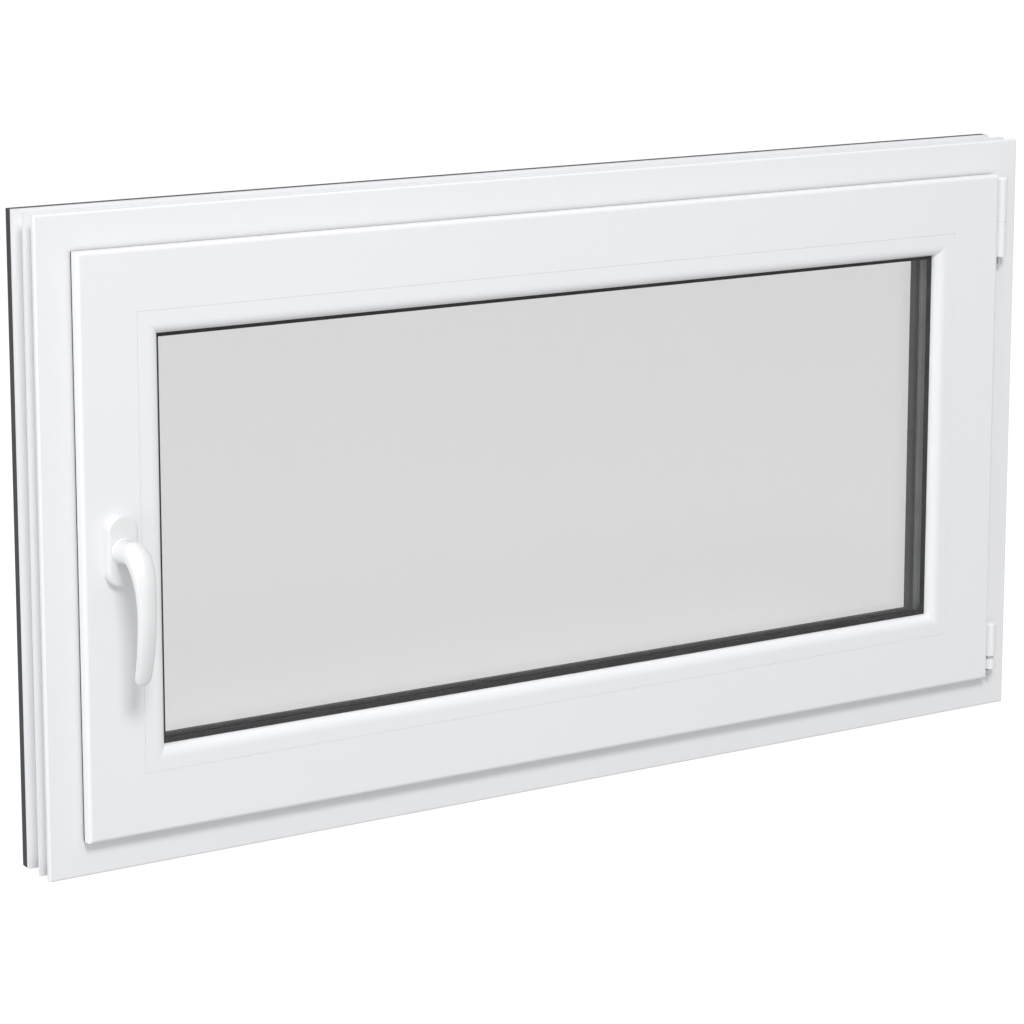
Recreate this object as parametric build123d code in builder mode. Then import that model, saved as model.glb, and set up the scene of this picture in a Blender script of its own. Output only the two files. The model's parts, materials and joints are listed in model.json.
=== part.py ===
"""Tilt-and-turn casement window: plastic frame and sash, double glazing, handle, drive gear and hinges.

Millimetres. +X is to the right and +Y towards the outside for a person who stands in the room, +Z is up.
The origin is on the frame's underside, at mid width, in the middle of the rib between its two grooves.

Cross-sections are drawn in two numbers: inset, the distance inward from the frame's outer edge, and depth,
the distance behind the frame's room-side face (negative towards the room).
"""

import os
from math import pi

from build123d import *

os.makedirs("parts", exist_ok=True)

# ---- driving dimensions: the frame ----
window_width = 1100.0
window_height = 600.0
frame_depth = 60.0
front_lip = 5.0  # depth where the outer front lip ends
seat_rib_near = 21.0  # depth where the outer seating rib starts
seat_rib_far = 24.0  # and ends
rebate_inset = 41.5  # the frame's room-side face is this wide
stop_inset = 60.0  # tip of the stop that the sash closes against
stop_depth = 40.0
wall = 2.8  # plastic wall
skin = 0.5  # coloured outer layer
skin_edge_depth = 49.0  # the layer wraps the outer edge from here
anchor_groove = 9.0  # how deep the two outer grooves are
anchor_groove_far = 45.0
steel_wall = 1.5
steel_gap = 0.3  # steel section to chamber
steel_end = 70.0  # steel section stops this far from the outer edge

# ---- driving dimensions: the sash ----
sash_inset = 33.5  # the frame's visible margin
sash_proud = 14.0  # the sash face stands this far into the room
lip_thickness = 11.0
lip_round = 3.5
air_gap = 12.0  # frame rebate to sash edge, where the hardware is
sash_seat_gap = 3.0  # sash to stop, filled by the gasket
sash_depth = 60.0
sash_step_inset = 64.0
groove_width = 16.0  # hardware groove
groove_lip = 2.5  # faceplate recess
slot_width = 12.0  # narrower slot under the faceplate
slot_depth = 4.0
groove_centre = 10.0  # depth of the hardware line
opening_inset = 112.0  # inner edge of the glazing beads
bead_width = 22.0
bead_round = 10.0
gasket_lip = 4.0  # the bead's gasket shows this far past the bead
bead_gap = 0.1
bead_edge_round = 0.3
bead_back = -3.5
rebate_floor_inset = 91.5
glass_inset = 96.5
glass_near = -1.0  # room-side face of the glass unit
pane = 4.0
cavity = 16.0
spacer_height = 6.5
seal_height = 7.0
flange_tip_depth = 33.5
flange_slope_inset = 94.0

# ---- driving dimensions: hinges ----
hinge_inset = 26.5  # vertical hinge line
hinge_depth = -8.0
barrel_radius = 6.5
barrel_clearance = 0.4  # the sash stays this clear of the hinge barrels
bracket_half = 5.5  # half width of the brackets behind the barrels
pin_radius = 2.5
running_gap = 0.05
tilt_height = 39.0  # horizontal tilt line above the frame's underside
lower_pin_end = 34.5
lower_bearing = (43.0, 53.6)
pivot_barrel_bottom = 57.0
pivot_barrel_height = 35.0
stay_drop = 37.0  # top of the upper hinge barrel below the frame's top edge
stay_barrel_length = 82.0
stay_pin_end = 7.5  # pin shows this far below the barrel
stay_split = 45.0  # the turning half of the upper barrel
split_gap = 0.08  # half of the gap between the halves
stay_reach = 300.0  # hinge line to the stud that slides in the sash
peg_radius = 3.0
peg_length = 18.0

# ---- driving dimensions: handle and drive ----
handle_inset = 68.0
rosette = (30.0, 66.0, 10.0)
neck_radius = 10.5
neck_length = 9.5  # straight part of the neck, through the rosette
lever_gap = 0.3
neck_gap = 0.35
spindle = 7.0
spindle_gap = 0.05
spindle_end = 15.0
screw_spacing = 43.0
gear_ratio = 10.0  # rod travel in millimetres for each radian of the handle
rod = (2.2, 10.0)
rod_gap = 0.2
cam_radius = 3.0
cam_head = 4.5
cam_clearance = 0.6  # cam tip to keeper lip
keeper = (50.0, 3.0, 1.2)  # length, base, lip
gearbox_height = 110.0
gearbox_depth = 11.0
gearbox_width = 20.0
corner_leg = 45.0
cam_margin = 150.0  # the handle side's locking points stand this far from the frame's corners
top_cam_place = -150.0  # X of the locking point above
bottom_cam_reach = 250.0  # the two below stand this far from the middle

# ---- worked out ----
room_face = -(seat_rib_near + seat_rib_far) / 2  # Y of the frame's room-side face
half_width = window_width / 2
body_inset = rebate_inset + air_gap
lip_back = lip_thickness - sash_proud
sash_back = sash_depth - sash_proud
seat_depth = stop_depth - sash_seat_gap
groove_near = groove_centre - groove_width / 2
groove_far = groove_centre + groove_width / 2
slot_near = groove_centre - slot_width / 2
slot_far = groove_centre + slot_width / 2
slot_floor = body_inset + groove_lip + slot_depth
glass_far = glass_near + 2 * pane + cavity
gasket_seat = glass_far + 4.0
hinge_x = half_width - hinge_inset
hinge_y = room_face + hinge_depth
handle_x = -half_width + handle_inset
handle_z = window_height / 2
stay_top = window_height - stay_drop
stay_bottom = stay_top - stay_barrel_length
stud_x = hinge_x - stay_reach
left_cams = (cam_margin, window_height - cam_margin)
top_cams = (top_cam_place,)
bottom_cams = (-bottom_cam_reach, bottom_cam_reach)
travel = gear_ratio * pi
rod_top_inset = body_inset + groove_lip + rod_gap
crank_zs = (window_height - body_inset + 2.7, window_height - rebate_inset - 1.5)
cam_tip = rebate_inset + keeper[1] + keeper[2] + cam_clearance

sides = ("bottom", "top", "left", "right")
bar_places = {
    "bottom": (Vector(0, room_face, 0), Vector(0, 0, 1)),
    "top": (Vector(0, room_face, window_height), Vector(0, 0, -1)),
    "left": (Vector(-half_width, room_face, handle_z), Vector(1, 0, 0)),
    "right": (Vector(half_width, room_face, handle_z), Vector(-1, 0, 0)),
}


def save(builder, name):
    """Label a finished sub-part and write it."""
    builder.part.label = name
    export_step(builder.part, f"parts/{name}.step")


def bar_plane(side, along=0.0):
    """Section plane of one bar: local x is the inset, local y the depth, at a place along the bar."""
    middle, inward = bar_places[side]
    run = inward.cross(Vector(0, 1, 0))
    return Plane(origin=middle + run * along, x_dir=inward, z_dir=run)


def bar_length(side):
    return window_width if side in ("bottom", "top") else window_height


def straight_run(side, outline, length, hollows=(), rounds=()):
    """One bar with square ends, from its outline, its chambers and the corners that are rounded."""
    with BuildPart() as bar:
        with BuildSketch(bar_plane(side)) as section:
            with BuildLine():
                Polyline(*outline, close=True)
            make_face()
            for corner, radius in rounds:
                fillet(section.vertices().sort_by_distance((*corner, 0))[0], radius)
            for inset_near, inset_far, depth_near, depth_far in hollows:
                with Locations(((inset_near + inset_far) / 2, (depth_near + depth_far) / 2)):
                    Rectangle(inset_far - inset_near, depth_far - depth_near, mode=Mode.SUBTRACT)
        extrude(amount=length / 2, both=True)
    return bar.part


def mitred_run(side, outline, hollows=(), rounds=()):
    """One bar of a rectangular ring, cut at 45 degrees through the frame's corners."""
    plane = bar_plane(side)
    half = bar_length(side) / 2
    with BuildPart() as bar:
        add(straight_run(side, outline, 2 * half, hollows, rounds))
        for end in (1, -1):
            corner = plane.from_local_coords((0, 0, end * half))
            outward = plane.x_dir + plane.z_dir * end
            split(bisect_by=Plane(origin=corner, z_dir=outward), keep=Keep.BOTTOM)
    return bar.part


def ring(inset_near, inset_far, depth_near, depth_far):
    """A rectangular ring of one piece between two insets."""
    face = Plane(origin=(0, room_face + depth_near, handle_z), x_dir=(1, 0, 0), z_dir=(0, 1, 0))
    with BuildPart() as loop:
        with BuildSketch(face):
            Rectangle(window_width - 2 * inset_near, window_height - 2 * inset_near)
            Rectangle(window_width - 2 * inset_far, window_height - 2 * inset_far, mode=Mode.SUBTRACT)
        extrude(amount=depth_far - depth_near)
    return loop.part


def span_box(xs, depths, zs, mode=Mode.ADD):
    """A box between two X, two depths and two heights, put into the part that is being built."""
    middle = ((xs[0] + xs[1]) / 2, room_face + (depths[0] + depths[1]) / 2, (zs[0] + zs[1]) / 2)
    with Locations(middle):
        Box(abs(xs[1] - xs[0]), abs(depths[1] - depths[0]), abs(zs[1] - zs[0]), mode=mode)


def upright(x, y, z_low, z_high, radius, mode=Mode.ADD):
    """A vertical cylinder."""
    with Locations((x, y, (z_low + z_high) / 2)):
        Cylinder(radius, z_high - z_low, mode=mode)


def crosswise(x, z, depth_near, depth_far, radius, mode=Mode.ADD):
    """A cylinder along the depth."""
    with Locations(Location((x, room_face + (depth_near + depth_far) / 2, z), (90, 0, 0))):
        Cylinder(radius, depth_far - depth_near, mode=mode)


def bar_box(side, along, length, insets, depths, mode=Mode.ADD):
    """A box that follows one bar."""
    with Locations(bar_plane(side).location):
        with Locations(((insets[0] + insets[1]) / 2, (depths[0] + depths[1]) / 2, along)):
            Box(insets[1] - insets[0], depths[1] - depths[0], length, mode=mode)


def bar_pin(side, along, depth, insets, radius, mode=Mode.ADD):
    """A cylinder that points inward from one bar."""
    with Locations(bar_plane(side).location):
        with Locations(Location(((insets[0] + insets[1]) / 2, depth, along), (0, 90, 0))):
            Cylinder(radius, insets[1] - insets[0], mode=mode)


def along_bar(side, place):
    """Place along a bar, from its world X or Z."""
    run = bar_plane(side).z_dir
    world = Vector(place, 0, 0) if side in ("bottom", "top") else Vector(0, 0, place - handle_z)
    return run.dot(world)


# ---- the locking points: where each cam and its keeper sit ----
locking_points = [("left", z) for z in left_cams]
locking_points += [("top", x) for x in top_cams]
locking_points += [("bottom", x) for x in bottom_cams]
keeper_screw_spacing = keeper[0] - 14.0
keeper_screw_radius = 2.0
keeper_screw_depth = 24.0  # the screws stand behind the cam line
keeper_back = 30.0

# ---- frame ----
frame_outline = [
    (0, 0),
    (rebate_inset, 0),
    (rebate_inset, stop_depth),
    (stop_inset, stop_depth),
    (stop_inset, stop_depth + 6),
    (stop_inset - skin, stop_depth + 6),
    (stop_inset - skin, frame_depth - skin),
    (skin, frame_depth - skin),
    (skin, skin_edge_depth),
    (0, skin_edge_depth),
    (0, anchor_groove_far),
    (anchor_groove, anchor_groove_far),
    (anchor_groove, seat_rib_far),
    (0, seat_rib_far),
    (0, seat_rib_near),
    (anchor_groove, seat_rib_near),
    (anchor_groove, front_lip),
    (0, front_lip),
]
frame_hollows = [
    (anchor_groove + wall, rebate_inset - wall, wall, seat_rib_near - wall),
    (anchor_groove + wall, rebate_inset - wall, seat_rib_near, stop_depth - wall / 2),
    (anchor_groove + wall, stop_inset - skin - wall, stop_depth + wall, frame_depth - skin - wall),
    (wall, anchor_groove, anchor_groove_far + wall, frame_depth - skin - wall),
]
frame_rounds = [
    ((0, 0), 2.0),
    ((rebate_inset, 0), 1.0),
    ((stop_inset - skin, frame_depth - skin), 2.5),
    ((skin, frame_depth - skin), 1.5),
]
drain_places = (-window_width / 3.6, window_width / 3.6)
drain_slot = (30.0, 6.0)
drain_height = 26.0
drain_floor = stop_depth + wall


def cut_keeper_holes(side):
    """Screw holes of the keepers on one bar."""
    for bar_side, place in locking_points:
        if bar_side == side:
            for offset in (-keeper_screw_spacing / 2, keeper_screw_spacing / 2):
                bar_pin(
                    side,
                    along_bar(side, place) + offset,
                    keeper_screw_depth,
                    (rebate_inset - 10, rebate_inset),
                    keeper_screw_radius + running_gap,
                    Mode.SUBTRACT,
                )


def cut_drain_slots():
    """Water outlets through the outer wall of the lower bar."""
    for x in drain_places:
        zs = (drain_height - drain_slot[1] / 2, drain_height + drain_slot[1] / 2)
        span_box((x - drain_slot[0] / 2, x + drain_slot[0] / 2), (drain_floor, frame_depth + 1), zs, Mode.SUBTRACT)


upper_pegs = (stay_bottom + 10, stay_bottom + 27)
lower_peg = (lower_bearing[0] + lower_bearing[1]) / 2

for side in sides:
    with BuildPart() as frame_bar:
        add(mitred_run(side, frame_outline, frame_hollows, frame_rounds))
        cut_keeper_holes(side)
        if side == "bottom":
            cut_drain_slots()
        if side == "right":
            for z in (*upper_pegs, lower_peg):
                crosswise(hinge_x, z, 0, peg_length + 1, peg_radius + running_gap, Mode.SUBTRACT)
    save(frame_bar, f"frame_{side}")


def channel(inset_near, inset_far, depth_near, depth_far, thickness):
    """Outline of a steel channel that opens outward."""
    return [
        (inset_near, depth_near),
        (inset_far, depth_near),
        (inset_far, depth_far),
        (inset_near, depth_far),
        (inset_near, depth_far - thickness),
        (inset_far - thickness, depth_far - thickness),
        (inset_far - thickness, depth_near + thickness),
        (inset_near, depth_near + thickness),
    ]


def grow(hollow, gap):
    """A chamber made smaller all round."""
    return (hollow[0] + gap, hollow[1] - gap, hollow[2] + gap, hollow[3] - gap)


with BuildPart() as frame_reinforcement:
    for side in sides:
        section = channel(*grow(frame_hollows[1], steel_gap), steel_wall)
        add(straight_run(side, section, bar_length(side) - 2 * steel_end))
        cut_keeper_holes(side)
save(frame_reinforcement, "frame_reinforcement")

with BuildPart() as frame_outer_skin:
    skin_outline = [
        (0, skin_edge_depth),
        (0, frame_depth),
        (stop_inset, frame_depth),
        (stop_inset, stop_depth + 6),
        (stop_inset - skin, stop_depth + 6),
        (stop_inset - skin, frame_depth - skin),
        (skin, frame_depth - skin),
        (skin, skin_edge_depth),
    ]
    skin_rounds = [
        ((0, frame_depth), 2.0),
        ((stop_inset, frame_depth), 3.0),
        ((stop_inset - skin, frame_depth - skin), 2.5),
        ((skin, frame_depth - skin), 1.5),
    ]
    for side in sides:
        add(mitred_run(side, skin_outline, (), skin_rounds))
    cut_drain_slots()
save(frame_outer_skin, "frame_outer_skin")

stop_gasket_gap = 0.3
with BuildPart() as frame_gasket:
    gasket_outline = [
        (body_inset + 0.5, stop_depth),
        (stop_inset - 1, stop_depth),
        (stop_inset - 1, stop_depth - 1.4),
        (stop_inset - 2.5, seat_depth + stop_gasket_gap),
        (body_inset + 2, seat_depth + stop_gasket_gap),
        (body_inset + 0.5, stop_depth - 1.2),
    ]
    for side in sides:
        add(mitred_run(side, gasket_outline))
save(frame_gasket, "frame_gasket")

with BuildPart() as drain_caps:
    cap_height = 12.0
    cap_proud = 3.0
    for x in drain_places:
        outer = (x - drain_slot[0] / 2 - 4, x + drain_slot[0] / 2 + 4)
        zs = (drain_height - cap_height / 2, drain_height + cap_height / 2)
        span_box(outer, (frame_depth, frame_depth + cap_proud), zs)
    chamfer(drain_caps.faces().sort_by(Axis.Y)[-2:].edges(), 1.2)
    for x in drain_places:
        inner = (x - drain_slot[0] / 2 + 0.3, x + drain_slot[0] / 2 - 0.3)
        slot = (drain_height - drain_slot[1] / 2 + 0.3, drain_height + drain_slot[1] / 2 - 0.3)
        span_box(inner, (frame_depth - 4, frame_depth), slot)
        mouth = (x - drain_slot[0] / 2, x + drain_slot[0] / 2)
        floor = drain_height - cap_height / 2
        span_box(mouth, (frame_depth + 0.8, frame_depth + cap_proud - 0.8), (floor, floor + 5), Mode.SUBTRACT)
save(drain_caps, "drain_caps")

# ---- keepers on the frame ----
with BuildPart() as keepers:
    for side, place in locking_points:
        along = along_bar(side, place)
        base = (rebate_inset, rebate_inset + keeper[1])
        lip = (rebate_inset + keeper[1], rebate_inset + keeper[1] + keeper[2])
        bar_box(side, along, keeper[0], base, (1.0, keeper_back))
        bar_box(side, along, keeper[0], lip, (1.0, 4.5))
        for offset in (-keeper_screw_spacing / 2, keeper_screw_spacing / 2):
            bar_pin(
                side, along + offset, keeper_screw_depth, base, keeper_screw_radius + running_gap, Mode.SUBTRACT
            )
save(keepers, "keepers")

with BuildPart() as keeper_screws:
    for side, place in locking_points:
        for offset in (-keeper_screw_spacing / 2, keeper_screw_spacing / 2):
            along = along_bar(side, place) + offset
            shank = (rebate_inset - 8, rebate_inset + keeper[1])
            bar_pin(side, along, keeper_screw_depth, shank, keeper_screw_radius)
            head = (rebate_inset + keeper[1], rebate_inset + keeper[1] + 1.4)
            bar_pin(side, along, keeper_screw_depth, head, 2 * keeper_screw_radius)
save(keeper_screws, "keeper_screws")

# ---- sash ----
hook_near = -8.3
hook_far = -4.7
hook = 2.8
flange_skin_inset = flange_slope_inset - 0.6 * skin
bead_inset = opening_inset - bead_width
sash_outline = [
    (sash_inset, -sash_proud),
    (bead_inset, -sash_proud),
    (bead_inset, hook_near),
    (bead_inset - hook, hook_near),
    (bead_inset - hook, hook_far),
    (bead_inset, hook_far),
    (bead_inset, glass_near),
    (rebate_floor_inset, glass_near),
    (rebate_floor_inset, gasket_seat),
    (opening_inset - skin, gasket_seat),
    (opening_inset - skin, flange_tip_depth - 0.6 * skin),
    (flange_skin_inset, sash_back - skin),
    (sash_step_inset + skin, sash_back - skin),
    (sash_step_inset + skin, seat_depth + 2),
    (sash_step_inset, seat_depth + 2),
    (sash_step_inset, seat_depth),
    (body_inset, seat_depth),
    (body_inset, groove_far),
    (body_inset + groove_lip, groove_far),
    (body_inset + groove_lip, slot_far),
    (slot_floor, slot_far),
    (slot_floor, slot_near),
    (body_inset + groove_lip, slot_near),
    (body_inset + groove_lip, groove_near),
    (body_inset, groove_near),
    (body_inset, lip_back),
    (sash_inset, lip_back),
]
sash_hollows = [
    (sash_inset + wall, body_inset - wall, wall - sash_proud, lip_back - wall),
    (body_inset, bead_inset - hook - wall, wall - sash_proud, groove_near - wall),
    (slot_floor + wall, rebate_floor_inset - wall, groove_near, groove_far - 1),
    (body_inset + wall, rebate_floor_inset - wall, groove_far + 2, seat_depth - wall),
    (sash_step_inset + wall, rebate_floor_inset, seat_depth, sash_back - skin - wall),
]
sash_rounds = [((sash_inset, -sash_proud), lip_round), ((bead_inset, -sash_proud), bead_edge_round)]
bush_radius = 3.5
bush_length = 16.0
gearbox_near = groove_centre - gearbox_depth / 2
gearbox_far = groove_centre + gearbox_depth / 2
gearbox_inset = rod_top_inset + rod[0] + 0.4
gearbox_zs = (handle_z - gearbox_height / 2, handle_z + gearbox_height / 2)
pocket_gap = 0.5
bush_inset = max(sash_inset, hinge_inset + pin_radius + 2 * barrel_clearance)
bush_xs = (half_width - bush_inset - bush_length, half_width - bush_inset)
lug_xs = (half_width - 49.5, half_width - 43.0)


def lying(x_low, x_high, z, depth, radius, mode=Mode.ADD):
    """A cylinder along X."""
    with Locations(Location(((x_low + x_high) / 2, room_face + depth, z), (0, 90, 0))):
        Cylinder(radius, x_high - x_low, mode=mode)


def cut_barrel_pockets():
    """Room for the hinge barrels and their brackets where they reach into the sash edge."""
    lower_end = pivot_barrel_bottom + pivot_barrel_height + barrel_clearance
    reach = bracket_half + barrel_clearance
    for low, high in ((sash_inset - 1, lower_end), (stay_bottom - stay_pin_end, window_height - sash_inset + 1)):
        upright(hinge_x, hinge_y, low, high, barrel_radius + barrel_clearance, Mode.SUBTRACT)
        span_box((hinge_x - reach, hinge_x + reach), (hinge_depth, 0), (low, high), Mode.SUBTRACT)


def cut_tilt_bush():
    """Seat of the tilt bush in the sash lip, and the slot of its lug."""
    low, high = bush_xs
    lying(low - 0.1, high + 1, tilt_height, hinge_depth, bush_radius + running_gap, Mode.SUBTRACT)
    span_box(
        (lug_xs[0] - 0.1, lug_xs[1] + 0.1), (hinge_depth, lip_back), (tilt_height - 2.6, tilt_height + 2.6), Mode.SUBTRACT
    )


for side in sides:
    with BuildPart() as sash_bar:
        add(mitred_run(side, sash_outline, sash_hollows, sash_rounds))
        if side in ("bottom", "right"):
            cut_tilt_bush()
        if side != "left":
            cut_barrel_pockets()
        if side == "left":
            crosswise(handle_x, handle_z, -sash_proud, slot_near, 6.0, Mode.SUBTRACT)
            for z in (handle_z - screw_spacing / 2, handle_z + screw_spacing / 2):
                crosswise(handle_x, z, -sash_proud, slot_near, 2.7, Mode.SUBTRACT)
            span_box(
                (-half_width + slot_floor - 1, -half_width + gearbox_inset + gearbox_width + pocket_gap),
                (gearbox_near - pocket_gap, gearbox_far + pocket_gap),
                (gearbox_zs[0] - pocket_gap, gearbox_zs[1] + pocket_gap),
                Mode.SUBTRACT,
            )
    save(sash_bar, f"sash_{side}")

with BuildPart() as sash_reinforcement:
    for side in sides:
        section = channel(*grow(sash_hollows[3], steel_gap), steel_wall)
        add(straight_run(side, section, bar_length(side) - 2 * (glass_inset + 5)))
save(sash_reinforcement, "sash_reinforcement")

with BuildPart() as sash_outer_skin:
    sash_skin_outline = [
        (sash_step_inset, seat_depth + 2),
        (sash_step_inset, sash_back),
        (flange_slope_inset, sash_back),
        (opening_inset, flange_tip_depth),
        (opening_inset, gasket_seat),
        (opening_inset - skin, gasket_seat),
        (opening_inset - skin, flange_tip_depth - 0.6 * skin),
        (flange_skin_inset, sash_back - skin),
        (sash_step_inset + skin, sash_back - skin),
        (sash_step_inset + skin, seat_depth + 2),
    ]
    for side in sides:
        add(mitred_run(side, sash_skin_outline))
save(sash_outer_skin, "sash_outer_skin")

lip_gasket_gap = 0.9
with BuildPart() as sash_gasket:
    lip_gasket_outline = [
        (sash_inset + 0.7, lip_back),
        (sash_inset + 5.5, lip_back),
        (sash_inset + 5.5, lip_back + 1),
        (sash_inset + 3.5, -lip_gasket_gap),
        (sash_inset + 1.1, -lip_gasket_gap),
    ]
    for side in sides:
        add(mitred_run(side, lip_gasket_outline))
    notch = (crank_zs[0] - 2, crank_zs[1] + 2)
    span_box((half_width - rebate_inset, half_width - sash_inset), (lip_back, 0), notch, Mode.SUBTRACT)
    foot = (sash_inset, tilt_height + 4)
    span_box((lug_xs[0] - 0.5, lug_xs[1] + 0.5), (lip_back, 0), foot, Mode.SUBTRACT)
    cut_barrel_pockets()
save(sash_gasket, "sash_gasket")

# ---- glazing ----
bead_outline = [
    (bead_inset + bead_gap, -sash_proud),
    (opening_inset, -sash_proud),
    (opening_inset, bead_back),
    (bead_inset + bead_gap, bead_back),
    (bead_inset + bead_gap, hook_far - 0.3),
    (bead_inset - hook + 0.3, hook_far - 0.3),
    (bead_inset - hook + 0.3, hook_near + 0.3),
    (bead_inset + bead_gap, hook_near + 0.3),
]
bead_rounds = [
    ((opening_inset, -sash_proud), bead_round),
    ((bead_inset + bead_gap, -sash_proud), bead_edge_round),
]
bead_hollows = [(bead_inset + 3, opening_inset - 8, 2 - sash_proud, bead_back - 2)]
for side in sides:
    with BuildPart() as bead:
        add(mitred_run(side, bead_outline, bead_hollows, bead_rounds))
    save(bead, f"glazing_bead_{side}")

with BuildPart() as bead_gasket:
    bead_gasket_outline = [
        (opening_inset - 8, bead_back),
        (opening_inset, bead_back),
        (opening_inset + gasket_lip, glass_near - 0.5),
        (opening_inset + gasket_lip, glass_near),
        (opening_inset - 8, glass_near),
    ]
    for side in sides:
        add(mitred_run(side, bead_gasket_outline))
save(bead_gasket, "bead_gasket")

with BuildPart() as outer_glazing_gasket:
    add(ring(opening_inset - 8, opening_inset + 1.5, glass_far, gasket_seat))
save(outer_glazing_gasket, "outer_glazing_gasket")

pane_size = (window_width - 2 * glass_inset, window_height - 2 * glass_inset)
for name, depth in (("inner_pane", glass_near), ("outer_pane", glass_near + pane + cavity)):
    with BuildPart() as sheet:
        with Locations((0, room_face + depth + pane / 2, handle_z)):
            Box(pane_size[0], pane, pane_size[1])
    save(sheet, name)

seal_inset = glass_inset + 0.5
with BuildPart() as edge_seal:
    add(ring(seal_inset, seal_inset + seal_height, glass_near + pane, glass_near + pane + cavity))
save(edge_seal, "edge_seal")

with BuildPart() as spacer_bar:
    spacer_inset = seal_inset + seal_height
    add(ring(spacer_inset, spacer_inset + spacer_height, glass_near + pane, glass_near + pane + cavity))
save(spacer_bar, "spacer_bar")

with BuildPart() as glazing_packers:
    packer_length = 100.0
    packer_end = 60.0  # from the pane's corner, or less where the side is short
    packer_gap = 5.0
    for side in sides:
        pane_half = bar_length(side) / 2 - glass_inset
        reach = max(pane_half - packer_end, packer_length + packer_gap) - packer_length / 2
        for along in (-reach, reach):
            bar_box(side, along, packer_length, (rebate_floor_inset, glass_inset), (glass_near + 0.5, glass_far))
save(glazing_packers, "glazing_packers")

# ---- lower hinge ----
with BuildPart() as lower_bearing_bracket:
    upright(hinge_x, hinge_y, *lower_bearing, barrel_radius)
    span_box((hinge_x - bracket_half, hinge_x + bracket_half), (hinge_depth, 0), lower_bearing)
    crosswise(hinge_x, lower_peg, 0, peg_length, peg_radius)
    upright(hinge_x, hinge_y, *lower_bearing, pin_radius + running_gap, Mode.SUBTRACT)
save(lower_bearing_bracket, "lower_bearing")

with BuildPart() as corner_pivot:
    pivot_top = pivot_barrel_bottom + pivot_barrel_height - 3
    upright(hinge_x, hinge_y, lower_pin_end, pivot_top, pin_radius)
    upright(hinge_x, hinge_y, lower_bearing[1] + 0.1, pivot_barrel_bottom, pin_radius + 2)
    lying(bush_xs[0] + 1, hinge_x, tilt_height, hinge_depth, pin_radius)
save(corner_pivot, "corner_pivot")

with BuildPart() as corner_pivot_cover:
    upright(hinge_x, hinge_y, pivot_barrel_bottom, pivot_barrel_bottom + pivot_barrel_height, barrel_radius)
    fillet(corner_pivot_cover.faces().sort_by(Axis.Z)[-1].edges(), 2.0)
    upright(hinge_x, hinge_y, pivot_barrel_bottom, pivot_top + running_gap, pin_radius + running_gap, Mode.SUBTRACT)
save(corner_pivot_cover, "corner_pivot_cover")

with BuildPart() as sash_corner_band:
    band_thickness = 2.6
    band_reach = 120.0
    plate = (lip_back + 0.1, lip_back + 0.1 + 2.3)
    edge = body_inset - 0.1
    lying(*bush_xs, tilt_height, hinge_depth, bush_radius)
    span_box(lug_xs, (hinge_depth, plate[1]), (tilt_height - 2.5, tilt_height + 2.5))
    span_box(lug_xs, plate, (tilt_height - 2.5, edge))
    span_box((half_width - band_reach, lug_xs[1]), (plate[0], groove_near - 0.2), (edge - band_thickness, edge))
    lying(bush_xs[0], bush_xs[1] + 1, tilt_height, hinge_depth, pin_radius + running_gap, Mode.SUBTRACT)
save(sash_corner_band, "sash_corner_band")

# ---- upper hinge and stay ----
split_z = stay_top - stay_split
with BuildPart() as stay_bearing:
    upright(hinge_x, hinge_y, stay_bottom, split_z - split_gap, barrel_radius)
    span_box((hinge_x - bracket_half, hinge_x + bracket_half), (hinge_depth, 0), (stay_bottom, split_z - split_gap))
    for z in upper_pegs:
        crosswise(hinge_x, z, 0, peg_length, peg_radius)
    upright(hinge_x, hinge_y, stay_bottom, split_z, pin_radius + running_gap, Mode.SUBTRACT)
save(stay_bearing, "stay_bearing")

with BuildPart() as stay_pin:
    upright(hinge_x, hinge_y, stay_bottom - stay_pin_end, stay_top - 3, pin_radius)
save(stay_pin, "stay_pin")

sleeve_radius = 4.2
arm_depths = (groove_centre - 5.0, groove_centre + 5.0)
arm_thickness = 2.5
crank_insets = (rebate_inset + 0.7, rebate_inset + 3.7)
crank_depths = (lip_back + 0.4, -0.6)
with BuildPart() as stay_arm:
    upright(hinge_x, hinge_y, split_z + split_gap, stay_top - 2, sleeve_radius)
    span_box((hinge_x - 3, hinge_x + 3), (hinge_depth, crank_depths[1]), crank_zs)
    span_box((half_width - crank_insets[1], hinge_x), crank_depths, crank_zs)
    inner = (half_width - crank_insets[1], half_width - crank_insets[0])
    span_box(inner, (crank_depths[0], arm_depths[1]), crank_zs)
    span_box((stud_x - 9, inner[1]), arm_depths, (crank_zs[0], crank_zs[0] + arm_thickness))
    upright(hinge_x, hinge_y, split_z, stay_top - 2, pin_radius + running_gap, Mode.SUBTRACT)
    upright(stud_x, room_face + groove_centre, crank_zs[0] - 1, crank_zs[1], 2.0 + running_gap, Mode.SUBTRACT)
save(stay_arm, "stay_arm")

with BuildPart() as stay_cover:
    upright(hinge_x, hinge_y, split_z + split_gap, stay_top, barrel_radius)
    fillet(stay_cover.faces().sort_by(Axis.Z)[-1].edges(), 2.0)
    upright(hinge_x, hinge_y, split_z, stay_top - 1.9, sleeve_radius + running_gap, Mode.SUBTRACT)
    passage = (hinge_x - barrel_radius - 1, hinge_x + 3.1)
    span_box(passage, (hinge_depth + 1, 0), (crank_zs[0] - 0.1, crank_zs[1] + 0.1), Mode.SUBTRACT)
save(stay_cover, "stay_cover")

stud_radius = 3.0
with BuildPart() as stay_stud:
    stud_y = room_face + groove_centre
    upright(stud_x, stud_y, window_height - body_inset - 3.3, crank_zs[0], stud_radius)
    upright(stud_x, stud_y, crank_zs[0], crank_zs[0] + arm_thickness, 2.0)
    upright(stud_x, stud_y, crank_zs[0] + arm_thickness, crank_zs[0] + arm_thickness + 1.5, 4.5)
save(stay_stud, "stay_stud")

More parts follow.
